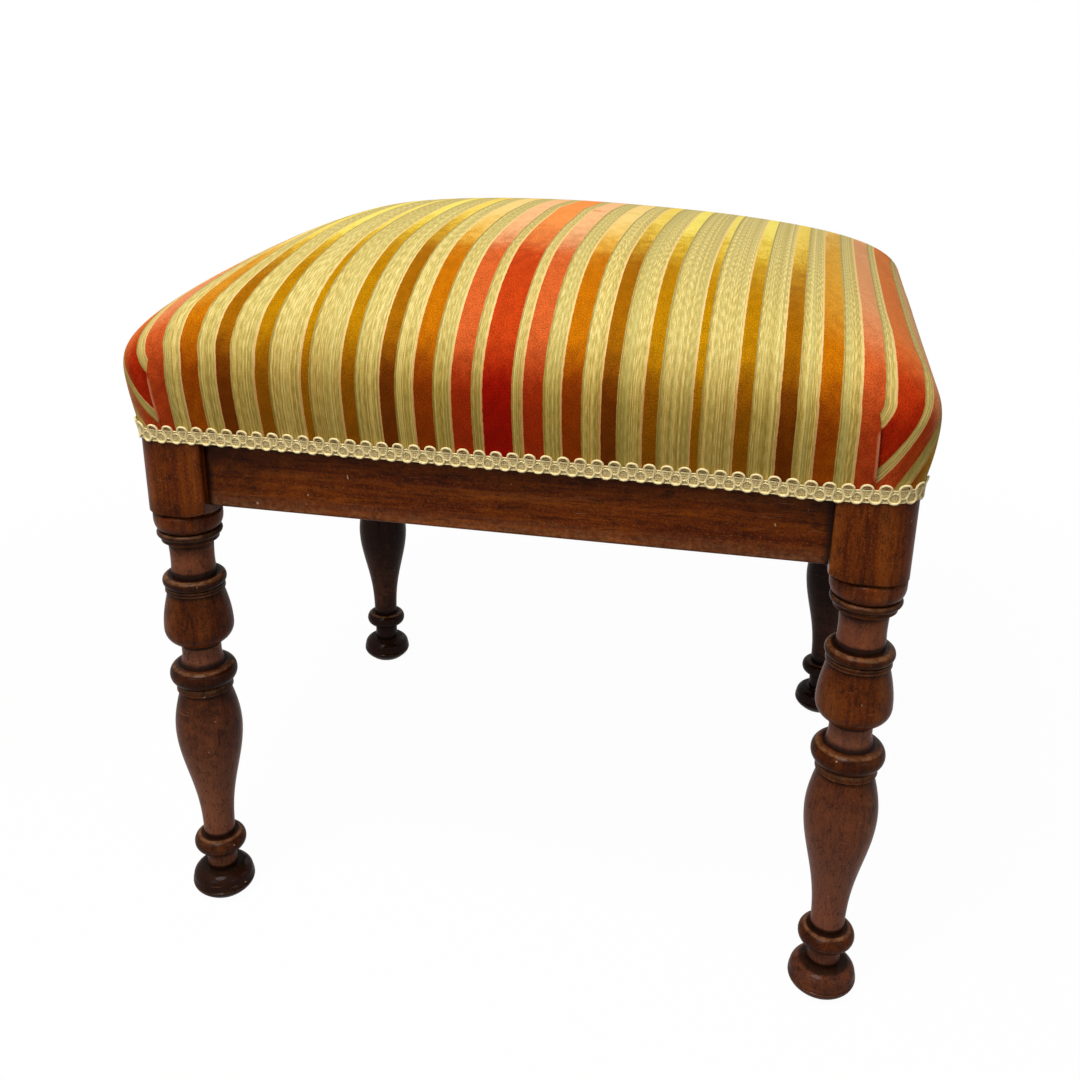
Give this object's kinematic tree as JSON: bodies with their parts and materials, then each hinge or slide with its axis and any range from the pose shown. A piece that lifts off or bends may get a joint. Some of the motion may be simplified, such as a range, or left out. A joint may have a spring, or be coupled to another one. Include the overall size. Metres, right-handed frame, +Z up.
{
  "type": "upholstered stool",
  "caption": "Rectangular stool on turned legs, with a seat frame of mortised rails and a domed stuffed-over seat in striped velvet, edged with scalloped braid.",
  "frame": {"origin": "on the floor under the middle of the seat", "axes": "+X to the sitter's side along the longer rails, -Y to the front, +Z up"},
  "size_m": [0.4876, 0.4206, 0.477],
  "materials": {
    "walnut": "polished",
    "plain_wood": "sawn",
    "jute": "woven",
    "hessian": "woven",
    "hair": "loose hair",
    "wadding": "felted",
    "velvet": "striped pile",
    "braid": "woven braid"
  },
  "bodies": {
    "root": {"leg_front_left": "walnut", "corner_block_front_left": "plain_wood", "leg_front_right": "walnut", "corner_block_front_right": "plain_wood", "leg_back_left": "walnut", "corner_block_back_left": "plain_wood", "leg_back_right": "walnut", "corner_block_back_right": "plain_wood", "rail_front": "walnut", "rail_back": "walnut", "rail_left": "walnut", "rail_right": "walnut", "webbing_front_to_back_1": "jute", "webbing_front_to_back_2": "jute", "webbing_front_to_back_3": "jute", "webbing_front_to_back_4": "jute", "webbing_side_to_side_1": "jute", "webbing_side_to_side_2": "jute", "webbing_side_to_side_3": "jute", "hessian": "hessian", "stuffing_pad": "hair", "wadding": "wadding", "seat_cover": "velvet", "gimp_braid": "braid"}
  },
  "joints": []
}
